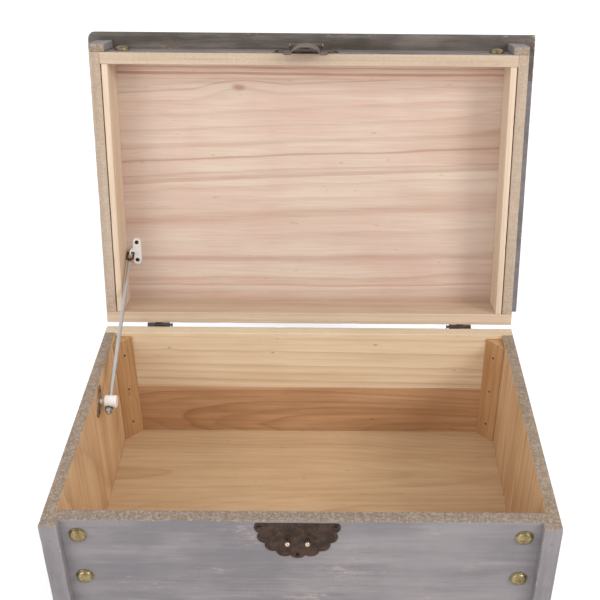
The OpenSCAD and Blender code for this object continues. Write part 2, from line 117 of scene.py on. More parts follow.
class Finish:
    """A material under construction: one generic node method and a few named steps."""

    def __init__(self, name):
        self.material = bpy.data.materials.new(name)
        self.material.use_nodes = True
        self.nodes = self.material.node_tree.nodes
        self.links = self.material.node_tree.links
        self.nodes.clear()

    def node(self, kind, settings=None, *values, out=0, **named):
        """Adds a node: first its settings, then its sockets in order, then sockets by name."""
        made = self.nodes.new("ShaderNode" + kind)
        for key, value in (settings or {}).items():
            if key == "stops":
                ramp = made.color_ramp
                while len(ramp.elements) < len(value):
                    ramp.elements.new(0.5)
                for element, (place, shade) in zip(ramp.elements, value):
                    element.position = place
                    element.color = tone(shade)
            else:
                setattr(made, key, value)
        for index, value in enumerate(values):
            self.feed(made.inputs[index], value)
        for key, value in named.items():
            self.feed(made.inputs[key.replace("_", " ")], value)
        return Wire(self, made.outputs[out]) if made.outputs else None

    def feed(self, socket, value):
        if isinstance(value, Wire):
            self.links.new(value.socket, socket)
        elif value is not None:
            socket.default_value = tone(value) if socket.type == "RGBA" else value

    def mix(self, share, first, second, blend="MIX"):
        """Two colours mixed by a share, or one laid over the other by a blend mode."""
        made = self.nodes.new("ShaderNodeMix")
        made.data_type = "RGBA"
        made.blend_type = blend
        for index, value in ((0, share), (6, first), (7, second)):
            self.feed(made.inputs[index], value)
        return Wire(self, made.outputs[2])

    def noise(self, where, scale, detail=3.0, rough=0.55):
        """Cloudy noise from 0 to 1 at a scale in cycles a metre."""
        return self.node("TexNoise", {"noise_dimensions": "3D"}, Vector=where, Scale=scale,
                         Detail=detail, Roughness=rough)

    def step(self, value, low, high):
        """0 below low, 1 above high, and a smooth rise between."""
        return self.node("MapRange", {"interpolation_type": "SMOOTHSTEP"}, Value=value,
                         From_Min=low, From_Max=high)

    def stretched(self, where, along, across, through):
        """The coordinates scaled by three factors."""
        return self.node("VectorMath", {"operation": "MULTIPLY"}, where, (along, across, through))

    def bump(self, height, strength, distance=0.001):
        return self.node("Bump", None, Strength=strength, Distance=distance, Height=height)

    def done(self, **sockets):
        """Closes the tree with a Principled shader and returns the material."""
        shader = self.node("BsdfPrincipled", None, **sockets)
        self.node("OutputMaterial", None, Surface=shader)
        return self.material


def tone(shade):
    """A grey value or a colour as red, green, blue and alpha."""
    if isinstance(shade, (int, float)):
        return (shade, shade, shade, 1.0)
    return (*shade[:3], 1.0)


def grid_mesh(name, points, rings_closed=False, caps=False, attributes=None):
    """A mesh from a grid of points, shape (stations, round, 3), its faces joining neighbours.
    rings_closed joins each ring's last point to its first; caps closes the first and last rings."""
    stations, round_count = points.shape[:2]
    index = np.arange(stations * round_count).reshape(stations, round_count)
    right = np.roll(index, -1, axis=1) if rings_closed else index[:, 1:]
    left = index if rings_closed else index[:, :-1]
    quads = np.stack([left[:-1], right[:-1], right[1:], left[1:]], -1).reshape(-1, 4)
    faces = quads.tolist()
    if caps:
        faces += [index[0][::-1].tolist(), index[-1].tolist()]
    mesh = bpy.data.meshes.new(name)
    mesh.from_pydata(points.reshape(-1, 3).tolist(), [], faces)
    mesh.polygons.foreach_set("use_smooth", [True] * len(faces))
    for key, values in (attributes or {}).items():
        kind = "FLOAT_VECTOR" if values.ndim > 2 else "FLOAT"
        layer = mesh.attributes.new(key, kind, "POINT")
        flat = values.reshape(-1).astype(np.float32)
        layer.data.foreach_set("vector" if values.ndim > 2 else "value", flat)
    return mesh


def add_piece(name, mesh, material, body=None, replaces=()):
    """Puts a mesh in the scene as one piece, in its body, slot and CAD nodes' stead."""
    piece = bpy.data.objects.new(name, mesh)
    bpy.context.scene.collection.objects.link(piece)
    mesh.materials.append(material)
    if body:
        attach(piece, body)
    if replaces:
        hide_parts(*replaces)
    return piece


FLOOR_HALF = 14.0
floor_finish = Finish("studio_floor")
floor_place = floor_finish.node("TexCoord", None, out=3)
floor_shade = floor_finish.noise(floor_place, 0.6)
floor_colour = floor_finish.mix(floor_shade, (0.90, 0.90, 0.90), (0.93, 0.93, 0.93))
floor_finish.done(Base_Color=floor_colour, Roughness=0.9, Emission_Color=(1.0, 1.0, 1.0),
                  Emission_Strength=0.22)
floor_corners = FLOOR_HALF * np.array([[[-1, -1, 0], [1, -1, 0]], [[-1, 1, 0], [1, 1, 0]]], float)
floor = add_piece("studio_floor", grid_mesh("studio_floor", floor_corners), floor_finish.material)

world = bpy.data.worlds.new("studio")
bpy.context.scene.world = world
world.use_nodes = True
world.node_tree.nodes["Background"].inputs["Color"].default_value = (0.97, 0.98, 1.0, 1.0)
world.node_tree.nodes["Background"].inputs["Strength"].default_value = 0.92


def soft_lamp(name, place, target, size, power, colour):
    """A square area lamp that faces its target."""
    data = bpy.data.lights.new(name, "AREA")
    data.shape = "SQUARE"
    data.size = size
    data.energy = power
    data.color = colour
    lamp = bpy.data.objects.new(name, data)
    bpy.context.scene.collection.objects.link(lamp)
    lamp.location = place
    lamp.rotation_euler = (Vector(target) - Vector(place)).to_track_quat("-Z", "Y").to_euler()


AIM = (0.0, 0.1, 0.3)
soft_lamp("key", (2.4, -1.6, 2.2), AIM, 1.1, 48, (1.0, 0.97, 0.93))
soft_lamp("fill", (-2.2, -1.8, 1.6), AIM, 1.8, 32, (1.0, 0.99, 0.98))

# ---- The box's boards -------------------------------------------------------
# Planed softwood boards with eased, knocked edges. They are bare inside and
# washed grey outside, where the paint is rubbed through on the arrises.

EASE = 0.9 * MM
EASE_STEPS = 4
HOLD = 0.7 * MM
WEAR_BAND = 4 * MM
FACE_STEP = 9 * MM
LENGTH_STEP = 4 * MM


def wobble(where, seed, scale):
    """Smooth noise along a line, about -1 to 1: the mean of five sines with seeded phases."""
    draw = np.random.default_rng(seed)
    phases = draw.uniform(0, 2 * np.pi, 5)
    rates = scale * draw.uniform(0.5, 2.4, 5)
    return 1.6 * np.sin(np.multiply.outer(where, rates) + phases).mean(-1)


def spaced(low, high, step):
    """Places from low to high: even steps, with closer rows near each end to hold the shape."""
    rim = [0, HOLD, WEAR_BAND] if high - low > 2.5 * WEAR_BAND else [0, HOLD]
    inner_low, inner_high = low + rim[-1], high - rim[-1]
    count = max(1, int(round((inner_high - inner_low) / step)))
    middle = np.linspace(inner_low, inner_high, count + 1)[1:-1]
    return np.concatenate([low + np.array(rim), middle, high - np.array(rim[::-1])])


def plank_section(half_a, half_b, eases):
    """A rectangle with four round corners: for each side in turn its straight run, then a
    quarter turn. Returns the points of the outline and the outward normal at each."""
    outline, normals = [], []
    for turn in range(4):
        angle = turn * np.pi / 2
        across, along = (half_a, half_b) if turn % 2 == 0 else (half_b, half_a)
        before, after = eases[turn - 1], eases[turn]
        out = np.array([np.cos(angle), np.sin(angle)])
        side = np.array([-out[1], out[0]])
        walk = spaced(-along + before, along - after, FACE_STEP)
        outline.append(out * across + walk[:, None] * side)
        normals.append(np.repeat(out[None], len(walk), 0))
        steps = EASE_STEPS if after < 2 * EASE else 3 * EASE_STEPS
        sweep = angle + np.linspace(0, np.pi / 2, steps + 1)[1:-1]
        spoke = np.stack([np.cos(sweep), np.sin(sweep)], -1)
        outline.append(out * (across - after) + side * (along - after) + after * spoke)
        normals.append(spoke)
    return np.concatenate(outline), np.concatenate(normals)


def carried(outline, spokes, low, high, ease):
    """A closed outline carried from low to high along a third axis. Near each end it turns in
    by a quarter circle: the outline shrinks by ease (1 - cos t) as the end nears by ease sin t.
    Returns the points and outward normals, each as (stations, outline, 3) with the axis last."""
    rows = spaced(low + ease, high - ease, LENGTH_STEP)
    lean = np.linspace(math.radians(84), 0, EASE_STEPS)[:-1]
    station = np.concatenate([np.full(len(lean), rows[0]), rows, np.full(len(lean), rows[-1])])
    tilt = np.concatenate([-lean, np.zeros(len(rows)), lean[::-1]])[:, None, None]
    flat = outline[None] - ease * (1 - np.cos(tilt)) * spokes[None]
    lift = np.broadcast_to(station[:, None, None] + ease * np.sin(tilt), flat.shape[:2] + (1,))
    rise = np.broadcast_to(np.sin(tilt), flat.shape[:2] + (1,))
    return np.concatenate([flat, lift], -1), np.concatenate([np.cos(tilt) * spokes[None], rise], -1)


def plank_grid(low, high, along, seed, coat=None, knocks=0.35, eases=(EASE,) * 4, inside=None, nip=0.0):
    """A board between two corners, its arrises rounded and then rubbed inwards by seeded
    noise, up to knocks millimetres at a dent of 1. Faces named in coat are painted, and so is
    all that lies beyond the inside limits.
    nip is the radius of the front left corner in plan: a place t short of it from the end
    moves back by nip - sqrt(nip^2 - t^2), less towards the back edge.
    Returns the grid and its attributes: place in the grain, paint coat, nearness to an arris."""
    low, high = np.array(low, float), np.array(high, float)
    axis_a, axis_b = (along + 1) % 3, (along + 2) % 3
    order = [axis_a, axis_b, along]
    half, centre = (high - low) / 2, (low + high) / 2
    outline, spokes = plank_section(half[axis_a], half[axis_b], eases)
    outline = outline + centre[[axis_a, axis_b]]
    local_grid, local_normal = carried(outline, spokes, low[along], high[along], min(eases))
    grid, normal = np.empty_like(local_grid), np.empty_like(local_normal)
    grid[..., order], normal[..., order] = local_grid, local_normal
    gap = np.minimum(grid - low, high - grid)
    gap_a, gap_b, gap_end = gap[..., axis_a], gap[..., axis_b], gap[..., along]
    quarter_a = np.where(outline[:, 0] > centre[axis_a], 1, -1)
    quarter_b = np.where(outline[:, 1] > centre[axis_b], 1, -1)
    rubbed = np.zeros(len(outline))
    for ease, (side_a, side_b) in zip(eases, ((1, 1), (-1, 1), (-1, -1), (1, -1))):
        rubbed += (ease > 0.5 * EASE) * (quarter_a == side_a) * (quarter_b == side_b)
    near_long = rubbed * np.clip(1 - np.maximum(gap_a, gap_b) / WEAR_BAND, 0, 1)
    near_end = np.clip(1 - np.maximum(gap_end, np.minimum(gap_a, gap_b)) / WEAR_BAND, 0, 1)
    worn = np.zeros_like(near_long)
    for corner, (side_a, side_b) in enumerate([(-1, -1), (-1, 1), (1, -1), (1, 1)]):
        here = (quarter_a == side_a) & (quarter_b == side_b)
        place = grid[:, :1, along]
        dents = wobble(place, seed + 11 * corner, 55.0) + 0.6 * wobble(place, seed + 7 * corner, 210.0)
        worn += here[None] * np.clip(dents - 0.35, 0, 2)
    grid -= normal * (knocks * MM * worn * near_long**2)[..., None]
    coats = np.zeros_like(near_long)
    for direction, amount in (coat or {}).items():
        facing = normal[..., "xyz".index(direction[1])] * (1 if direction[0] == "+" else -1)
        coats = np.maximum(coats, amount * np.clip(facing * 1.25, 0, 1) ** 2)
    if inside is not None:
        beyond = (grid[..., 0] < inside[0]) | (grid[..., 0] > inside[1]) | (grid[..., 1] < inside[2])
        coats = np.maximum(coats, 0.98 * beyond)
    if nip:
        short = np.clip(low[0] + nip - grid[..., 0], 0, nip)
        share = np.clip((high[1] - grid[..., 1]) / (high[1] - low[1]), 0, 1)
        grid[..., 1] += share * (nip - np.sqrt(nip**2 - short**2))
    grain = np.stack([grid[..., along], grid[..., axis_a], grid[..., axis_b]], -1)
    return grid, {"grain": grain, "coat": coats, "arris": np.maximum(near_long, near_end)}


WASH = (0.223, 0.202, 0.206)
WASH_PALE = (0.285, 0.257, 0.253)
WASH_DARK = (0.150, 0.136, 0.144)
UNDERCOAT = (0.42, 0.32, 0.27)
WEATHERED = (0.300, 0.252, 0.210)
WEATHERED_DARK = (0.100, 0.078, 0.062)
LATE_LINE = [(0.0, 0.35), (0.12, 0.0), (0.5, 0.06), (0.84, 0.55), (0.96, 1.0), (1.0, 0.35)]


def timber(name, pale, deep, late, pith, spacing, slope=0.0, flow=0.006, ring_depth=0.5, blush=None,
           level=None, bands=(), knots=(), dark_patches_and_shade=(), dive=0.0, seed=0.0, washes=(WASH_DARK, WASH, WASH_PALE),
           bared_tone=UNDERCOAT):
    """Softwood cut from a log: rings are circles about a pith line beside the board, bent by
    slow noise. dive tips the pith towards the face, which draws the rings out into arches.
    A grey wash covers it where the coat attribute says, less on the arrises, and a thin coat
    only weathers it. pale and deep are the early wood's two tones, late the dark line that
    ends each ring. bands and knots are streaks and knots at given places in the grain, and
    the dark patches are darker blotches there, which can also serve as painted shade."""
    finish = Finish(name)
    grain = finish.node("Attribute", {"attribute_name": "grain"}, out=1)
    coat = finish.node("Attribute", {"attribute_name": "coat"}, out=2)
    arris = finish.node("Attribute", {"attribute_name": "arris"}, out=2)
    place = finish.node("VectorMath", {"operation": "ADD"}, grain, (seed * 1.7, seed * 0.31, seed * 0.23))
    along = finish.node("SeparateXYZ", None, grain)
    across, depth = (Wire(finish, along.socket.node.outputs[turn]) for turn in (1, 2))
    bend = finish.noise(finish.stretched(place, 2.6, 9.0, 9.0), 1.0, 3.0) - 0.5
    ripple = finish.noise(finish.stretched(place, 14.0, 60.0, 60.0), 1.0, 2.0) - 0.5
    lean = along * slope * finish.step(across, *level) if level else along * slope
    lane = across + lean + bend * flow * 2 + ripple * 0.0022
    off_b = depth - pith[1] + bend * flow + along * dive
    knot_shade = 0.0
    for knot_along, knot_a, knot_b, size in knots:
        gap_x, gap_a, gap_b = (along - knot_along) * 0.45, across - knot_a, depth - knot_b
        distance = (gap_x * gap_x + gap_a * gap_a + gap_b * gap_b) ** 0.5
        lane = lane + finish.step(distance, size * 5, 0.0) * size * 1.6
        knot_shade = finish.step(distance + ripple * size * 1.5, size, size * 0.25) + knot_shade
    off_a = lane - pith[0]
    rings = (off_a * off_a + off_b * off_b) ** 0.5 / spacing
    whole = rings.floor()
    strength = finish.node("TexWhiteNoise", {"noise_dimensions": "1D"}, W=whole + seed)
    line = finish.node("ValToRGB", {"stops": LATE_LINE}, rings - whole) * (strength * 0.75 + 0.25)
    fibre = finish.noise(finish.stretched(place, 16.0, 900.0, 900.0), 1.0, 4.0, 0.65)
    streak = finish.noise(finish.stretched(place, 3.0, 70.0, 70.0), 1.0, 4.0, 0.6)
    cloud = finish.noise(place, 9.0, 3.0)
    colour = finish.mix(finish.step(streak * 0.7 + cloud * 0.3, 0.38, 0.64), pale, deep)
    if blush:
        colour = finish.mix(finish.step(cloud * 0.6 + streak * 0.4, 0.42, 0.68) * 0.6, colour, blush)
    fine = finish.noise(finish.stretched(place, 9.0, 330.0, 330.0), 1.0, 5.0, 0.7)
    colour = finish.mix(finish.step(fine, 0.40, 0.66) * 0.30, colour, deep)
    colour = finish.mix(line * ring_depth, colour, late)
    # Dark patches mixed towards the late colour. On the lid panel the first one is painted shade as well as
    # browner wood.
    for cloud_along, cloud_across, size, weight in dark_patches_and_shade:
        gap_x, gap_a = (along - cloud_along) * 0.4, across - cloud_across
        near = finish.step((gap_x * gap_x + gap_a * gap_a) ** 0.5 + bend * size, size, 0.0)
        colour = finish.mix(near * weight, colour, late)
    for low, high, soft, weight in bands:
        band = finish.step(lane, low - soft, low + soft) * finish.step(lane, high + soft, high - soft)
        colour = finish.mix(band * (streak * 0.9 + 0.35) * weight, colour, late)
    if knots:
        colour = finish.mix(knot_shade * 0.6, colour, (0.30, 0.12, 0.05))
    colour = finish.mix(finish.step(fibre, 0.3, 0.75) * 0.22, colour, (0.45, 0.33, 0.24), "MULTIPLY")
    rub = finish.noise(finish.stretched(place, 12.0, 26.0, 26.0), 1.0, 5.0, 0.62)
    fleck = finish.noise(finish.stretched(place, 70.0, 260.0, 260.0), 1.0, 3.0, 0.6)
    speck = finish.noise(place, 420.0, 2.0)
    tick = finish.step(finish.noise(finish.stretched(place, 45.0, 190.0, 190.0), 1.0, 2.0), 0.70, 0.76)
    colour = finish.mix(tick * 0.45, colour, late)
    patina = finish.noise(place, 230.0, 5.0, 0.72)
    chatter = finish.noise(finish.stretched(place, 330.0, 14.0, 14.0), 1.0, 3.0)
    soiled = finish.step(coat, 0.02, 0.32)
    grey = soiled * finish.step(patina * 0.6 + speck * 0.4, 0.26, 0.50)
    dirt = finish.step(patina * 0.45 + speck * 0.45 + chatter * 0.1, 0.43, 0.57)
    colour = finish.mix(grey * 0.88, colour, finish.mix(dirt, WEATHERED_DARK, WEATHERED))
    bare_face = finish.step(rub * 0.7 + fleck * 0.3, 0.56, 0.72) * 0.8
    bare_arris = arris * finish.step(rub * 0.4 + fleck * 0.6, 0.36, 0.62) * 1.2
    cover = finish.step(coat * 1.35 - bare_face - bare_arris, 0.44, 0.80)
    brushed = finish.noise(finish.stretched(place, 7.0, 90.0, 90.0), 1.0, 5.0, 0.7)
    paint = finish.mix(finish.step(cloud * 0.6 + brushed * 0.4, 0.36, 0.62), washes[0], washes[1])
    paler = finish.step(brushed * 0.45 + rub * 0.35 + speck * 0.2, 0.46, 0.70)
    paint = finish.mix(paler * 0.55, paint, washes[2])
    paint = finish.mix(line * 0.12 + finish.step(fibre, 0.55, 0.8) * 0.12, paint, washes[0])
    paint = finish.mix(finish.step(rub, 0.59, 0.69) * finish.step(fleck, 0.42, 0.6) * 0.5, paint, bared_tone)
    base = finish.mix(cover, colour, paint)
    rough = 0.50 + fibre * 0.16 + cover * 0.08
    relief = line * 0.3 + fibre * 0.35 + cover * 0.3 + speck * 0.15
    return finish.done(Base_Color=base, Roughness=rough, Normal=finish.bump(relief, 0.35, 0.0006))


def span(node, turn=None):
    """The lowest and highest corners of a CAD node, after a turn when one is given."""
    corners = np.array([v.co for v in frame["nodes"][node].data.vertices])
    if turn is not None:
        corners = turned(corners, turn)
    return corners.min(0), corners.max(0)


def turned(points, turn):
    """Points carried through a 4 by 4 matrix."""
    matrix = np.array(turn)
    return points @ matrix[:3, :3].T + matrix[:3, 3]


def plank(node, material, body, along, seed, turn=None, **how):
    """One board in the stead of a CAD node, in the same place and size."""
    back = turn.inverted() if turn is not None else None
    low, high = span(node, back)
    grid, attributes = plank_grid(low, high, along, seed, **how)
    if turn is not None:
        grid = turned(grid, turn)
    mesh = grid_mesh("board_" + node, grid, rings_closed=True, caps=True, attributes=attributes)
    add_piece("board_" + node, mesh, material, body, [node])


PINE_PALE = (0.60, 0.42, 0.26)
PINE_DEEP = (0.51, 0.33, 0.18)
PINE_LATE = (0.36, 0.19, 0.09)

JOINTED = 0.3 * MM
front_wood = timber("front_wood", PINE_PALE, PINE_DEEP, PINE_LATE, (-0.30, 0.06), 0.0085, 0.01, seed=3.0)
plank("front_board_upper", front_wood, "box", 0, 31, coat={"-y": 1.0, "+z": 0.38, "-z": 0.9}, knocks=0.25,
      eases=(EASE, EASE, JOINTED, JOINTED))
plank("front_board_lower", front_wood, "box", 0, 32, coat={"-y": 1.0, "+z": 0.9, "-z": 0.9}, knocks=0.25,
      eases=(JOINTED, JOINTED, EASE, EASE))

BACK_FACE = float(span("back_board_upper")[0][1])
back_upper_wood = timber(
    "back_upper_wood", (0.84, 0.69, 0.49), (0.74, 0.57, 0.38), (0.46, 0.27, 0.14), (0.24, 0.02), 0.010, -0.02,
    flow=0.010, ring_depth=0.5, seed=5.0,
    knots=[(-0.05, BACK_FACE, 0.148, 0.0022), (0.09, BACK_FACE, 0.162, 0.0018),
           (0.2, BACK_FACE, 0.120, 0.002), (-0.19, BACK_FACE, 0.155, 0.002)],
)
back_lower_wood = timber(
    "back_lower_wood", (0.62, 0.38, 0.21), (0.45, 0.25, 0.12), (0.29, 0.13, 0.06), (0.21, 0.02), 0.007, 0.09,
    flow=0.02, ring_depth=0.6, dive=0.10, seed=7.0,
)
plank("back_board_upper", back_upper_wood, "box", 0, 37, coat={"+y": 1.0, "+x": 1.0, "-x": 1.0, "+z": 0.125})
plank("back_board_lower", back_lower_wood, "box", 0, 41, coat={"+y": 1.0, "+x": 1.0, "-x": 1.0, "-z": 0.9})

side_wood = timber(
    "side_wood", (0.70, 0.49, 0.29), (0.52, 0.32, 0.16), (0.34, 0.18, 0.09), (0.30, 0.05), 0.013, 0.10,
    flow=0.016, ring_depth=0.6, seed=11.0,
)
plank("side_wall_left", side_wood, "box", 2, 43, coat={"-x": 1.0, "+z": 0.28, "-y": 0.9, "-z": 0.9})
plank("side_wall_right", side_wood, "box", 2, 47, coat={"+x": 1.0, "+z": 0.28, "-y": 0.9, "-z": 0.9})

floor_pine = ((0.64, 0.45, 0.27), (0.54, 0.36, 0.20), (0.36, 0.20, 0.10))
floor_boards = (("floor_board_front", 0.45, 0.03), ("floor_board_middle", 0.60, -0.075),
                ("floor_board_back", 0.30, 0.045))
for count, (node, heart, dive) in enumerate(floor_boards):
    low, high = span(node)
    middle = low[1] + heart * (high[1] - low[1])
    floor_wood = timber("floor_wood_" + str(count), *floor_pine, (middle, -0.028), 0.0062, 0.012, flow=0.016,
                        ring_depth=0.42, dive=dive, seed=13.0 + count)
    plank(node, floor_wood, "box", 0, 53 + count, knocks=0.15, eases=(0.4 * MM,) * 4)

# ---- Corner strips ----------------------------------------------------------
# Triangular strips glued and nailed into the four inside corners. They stop
# short of the rim, and the nails stand a hair proud of the sloping face.

STRIP_EASE = 0.8 * MM
STRIP_ARCS = ((math.pi, 1.5 * math.pi), (1.5 * math.pi, 2.25 * math.pi), (0.25 * math.pi, math.pi))


def strip_grid(low, high, side, end):
    """A right-angled prism between two corners: three small arcs joined by straight sides,
    carried upwards. side and end are -1 or 1 and say which corner of the box it fills."""
    leg_x, leg_y = high[0] - low[0], high[1] - low[1]
    tip = STRIP_EASE * (1 + math.sqrt(2))
    centres = np.array([[STRIP_EASE, STRIP_EASE], [leg_x - tip, STRIP_EASE], [STRIP_EASE, leg_y - tip]])
    sweep = np.concatenate([np.linspace(first, last, 6) for first, last in STRIP_ARCS])
    spokes = np.stack([np.cos(sweep), np.sin(sweep)], -1)
    outline = np.repeat(centres, 6, 0) + STRIP_EASE * spokes
    grid = carried(outline, spokes, low[2], high[2], STRIP_EASE * 0.9)[0]
    corner = np.array([low[0] if side < 0 else high[0], low[1] if end < 0 else high[1]])
    grid[..., :2] = corner - np.array([side, end]) * grid[..., :2]
    return grid if side * end > 0 else grid[:, ::-1]


strip_wood = timber(
    "strip_wood", (0.54, 0.32, 0.15), (0.42, 0.22, 0.09), (0.27, 0.115, 0.045), (0.30, 0.33), 0.006, 0.03,
    flow=0.012, ring_depth=0.6, knots=[(0.085, -0.25, 0.153, 0.003)], seed=15.0,
)
for node, side, end in (("corner_strip_back_left", -1, 1), ("corner_strip_back_right", 1, 1),
                        ("corner_strip_front_left", -1, -1), ("corner_strip_front_right", 1, -1)):
    grid = strip_grid(*span(node), side, end)
    blank = np.zeros(grid.shape[:2])
    grain = np.stack([grid[..., 2], grid[..., 0], grid[..., 1]], -1)
    mesh = grid_mesh(node + "_wood", grid, True, True, {"grain": grain, "coat": blank, "arris": blank})
    add_piece(node + "_wood", mesh, strip_wood, "box", [node])

# ---- Nails ------------------------------------------------------------------
# Plain steel nails, dark with age. Those in the battens were painted over, so
# only a faint ring of each shows.


def metal(name, dull, bright, rough, scale=90.0, shine=1.0, bump=0.15):
    """Worn metal: two tones of tarnish in slow and fast noise, brighter where it is rubbed."""
    finish = Finish(name)
    where = finish.node("TexCoord", None, out=3)
    slow = finish.noise(where, scale, 4.0, 0.6)
    fast = finish.noise(where, scale * 14, 3.0)
    rubbed = finish.step(slow * 0.65 + fast * 0.35, 0.40, 0.66)
    colour = finish.mix(rubbed, dull, bright)
    relief = slow * 0.6 + fast * 0.4
    return finish.done(Base_Color=colour, Metallic=shine, Roughness=(1 - rubbed) * 0.18 + rough,
                       Normal=finish.bump(relief, bump, 0.0003))


def dress(node, material):
    """Gives a carried-over CAD node its finish."""
    shown = frame["nodes"][node]
    shown.data.materials.clear()
    shown.data.materials.append(material)


def solids(node):
    """The separate solids of a CAD node, each as an array of its corners. The loose triangles
    are joined at shared corners, then the lowest label spreads until nothing changes."""
    data = frame["nodes"][node].data
    corners = np.array([vertex.co for vertex in data.vertices])
    faces = np.array([face.vertices for face in data.polygons])
    _, same = np.unique(np.round(corners / (0.01 * MM)).astype(int), axis=0, return_inverse=True)
    faces = same.reshape(-1)[faces]
    label = np.arange(same.max() + 1)
    while True:
        spread = label.copy()
        for turn in range(3):
            np.minimum.at(spread, faces[:, turn], label[faces].min(1))
        spread = spread[spread]
        if (spread == label).all():
            break
        label = spread
    mine = label[same.reshape(-1)]
    return [corners[mine == value] for value in np.unique(mine)]


nail_steel = metal("nail_steel", (0.05, 0.03, 0.02), (0.16, 0.11, 0.08), 0.5)
dress("corner_strip_nails", nail_steel)

nail_paint = Finish("painted_nail")
nail_place = nail_paint.node("TexCoord", None, out=3)
nail_tone = nail_paint.mix(nail_paint.noise(nail_place, 900.0), WASH_DARK, WASH)
dress("batten_nails", nail_paint.done(Base_Color=nail_tone, Roughness=0.7))
dress("lid_batten_nails", nail_paint.material)

# ---- Front battens ----------------------------------------------------------
# Upright battens cover the ends of the front boards. The wash is rubbed off
# their arrises and lies thin on their sawn tops.

batten_wood = timber(
    "batten_wood", (0.64, 0.46, 0.30), (0.54, 0.36, 0.21), PINE_LATE, (0.20, 0.10), 0.006, 0.0, seed=21.0
)
batten_coat = {"-y": 1.0, "-x": 1.0, "+x": 1.0, "-z": 0.9, "+z": 0.45}
for side, node in ((-1, "front_batten_left"), (1, "front_batten_right")):
    plank(node, batten_wood, "box", 2, 101 + side, coat=batten_coat, knocks=0.6)

# ---- Studs ------------------------------------------------------------------
# Pressed brass domes with a rolled lip, driven in on a tack. The brass has
# darkened and catches the light on its crown.

STUD_TURNS = 40
stud_brass = metal("stud_brass", (0.17, 0.125, 0.06), (0.40, 0.32, 0.17), 0.26, 160.0, bump=0.2)


def turned_grid(profile, count):
    """A profile of radius and height spun about Z: one ring of points for each pair."""
    angle = np.linspace(0, 2 * np.pi, count, endpoint=False)
    radius, height = np.array(profile, float).T
    return np.stack([np.outer(radius, np.cos(angle)), np.outer(radius, np.sin(angle)),
                     np.repeat(height[:, None], count, 1)], -1)


def dome_profile(radius, height, lip):
    """From the back edge, round a rolled lip, up over a dome: radius and height pairs."""
    roll = np.linspace(-math.pi / 2, math.pi / 2, 7)
    rolled = [(radius - lip + lip * math.cos(turn), lip + lip * math.sin(turn)) for turn in roll]
    rise = np.linspace(0.06, math.pi / 2 - 0.04, 14)
    crown = [((radius - 1.3 * lip) * math.cos(turn) ** 0.9, 1.3 * lip + (height - 1.3 * lip) * math.sin(turn))
             for turn in rise]
    return [(radius - 2.5 * lip, 0.0)] + rolled + crown


def stand_out(grid, place, turn=None):
    """Carries a grid drawn about Z so that its Z points at the front and it sits at a place."""
    matrix = Matrix.Translation(Vector(place)) @ Matrix.Rotation(math.pi / 2, 4, "X")
    return turned(grid, turn @ matrix if turn is not None else matrix)


def join_grids(name, grids):
    """One mesh from several closed, capped grids of the same shape."""
    points = np.stack(grids)
    parts, stations, count = points.shape[:3]
    index = np.arange(parts * stations * count).reshape(parts, stations, count)
    right = np.roll(index, -1, axis=2)
    quads = np.stack([index[:, :-1], right[:, :-1], right[:, 1:], index[:, 1:]], -1).reshape(-1, 4).tolist()
    caps = [ring[::-1].tolist() for ring in index[:, 0]] + [ring.tolist() for ring in index[:, -1]]
    mesh = bpy.data.meshes.new(name)
    mesh.from_pydata(points.reshape(-1, 3).tolist(), [], quads + caps)
    mesh.polygons.foreach_set("use_smooth", [True] * (len(quads) + len(caps)))
    return mesh


STUD_LIP = 0.7 * MM
STUD_TACK = 11 * MM


def stud_rows(node, body, rows, radius, turn=None):
    """The studs of one CAD node, in two columns and as many rows as asked: the node's box
    gives the outer places and how far the domes stand out."""
    low, high = span(node, turn.inverted() if turn is not None else None)
    face = high[1] - STUD_TACK
    profile = dome_profile(radius, face - low[1], STUD_LIP)
    grids = [stand_out(turned_grid(profile, STUD_TURNS), (x, face, z), turn)
             for x in (low[0] + radius, high[0] - radius)
             for z in np.linspace(low[2] + radius, high[2] - radius, rows)]
    add_piece(node + "_domes", join_grids(node + "_domes", grids), stud_brass, body, [node])

# ---- The lid's boards -------------------------------------------------------
# The lid is a shallow tray of boards under two top boards. Everything is laid
# out as it lies when shut, and turned back about the hinge to where it stands.

hinge = next(joint for joint in frame["joints"] if joint["name"] == "lid_hinge")
HINGE_LINE = Vector(hinge["pos_m"])
OPENED = (
    Matrix.Translation(HINGE_LINE)
    @ Matrix.Rotation(-math.radians(hinge["range_deg"][1]), 4, "X")
    @ Matrix.Translation(-HINGE_LINE)
)
LID_HALF = span("lid_hinge_rail")[1][0]
LID_FRONT = span("lid_front_rail", OPENED.inverted())[0][1]
UNDER_RAILS = 4 * MM
INSIDE = (UNDER_RAILS - LID_HALF, LID_HALF - UNDER_RAILS, LID_FRONT + UNDER_RAILS)
NOSE = 5.6 * MM
NOSE_EASES = (JOINTED, NOSE, NOSE, JOINTED)
STAIN_DARK = (0.060, 0.047, 0.037)
STAIN = (0.140, 0.114, 0.098)
STAIN_PALE = (0.235, 0.200, 0.180)
STAIN_BARE = (0.17, 0.115, 0.080)

